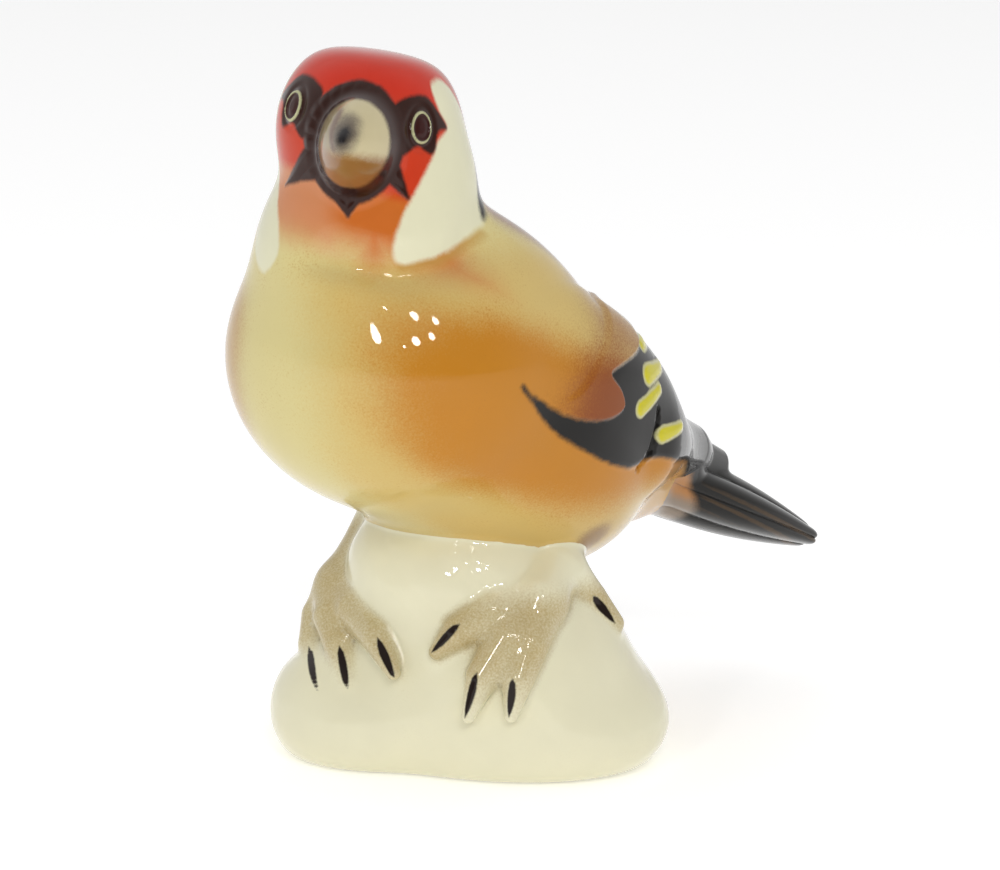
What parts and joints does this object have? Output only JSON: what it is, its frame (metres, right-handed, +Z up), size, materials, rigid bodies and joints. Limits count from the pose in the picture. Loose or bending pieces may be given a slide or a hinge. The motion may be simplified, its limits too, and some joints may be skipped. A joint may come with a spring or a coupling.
{
  "type": "porcelain bird figurine",
  "caption": "Small glazed porcelain songbird perched on a rock, with its head turned, for display on a shelf.",
  "frame": {"origin": "middle of the rock's flat underside, on the surface it stands on", "axes": "+Z up; the bird faces -Y and its tail points to +Y; +X is the bird's left side"},
  "size_m": [0.0417, 0.0761, 0.0744],
  "materials": {
    "glazed_rock": "ivory glaze over unpainted porcelain",
    "glazed_body": "airbrushed ochre and cream under clear glaze",
    "glazed_head": "red face, white cheeks and dark eye patches under clear glaze",
    "glazed_beak": "horn colour shading to ochre under clear glaze",
    "glazed_wings": "black and chestnut with yellow spots under clear glaze",
    "glazed_tail": "black with brown streaks under clear glaze",
    "glazed_feet": "khaki airbrush with dark claws under clear glaze"
  },
  "bodies": {
    "root": {"rock_base": "glazed_rock", "body_shell": "glazed_body", "head_shell": "glazed_head", "beak": "glazed_beak", "left_wing": "glazed_wings", "right_wing": "glazed_wings", "left_primaries": "glazed_wings", "right_primaries": "glazed_wings", "tail": "glazed_tail", "left_foot": "glazed_feet", "right_foot": "glazed_feet"}
  },
  "joints": []
}
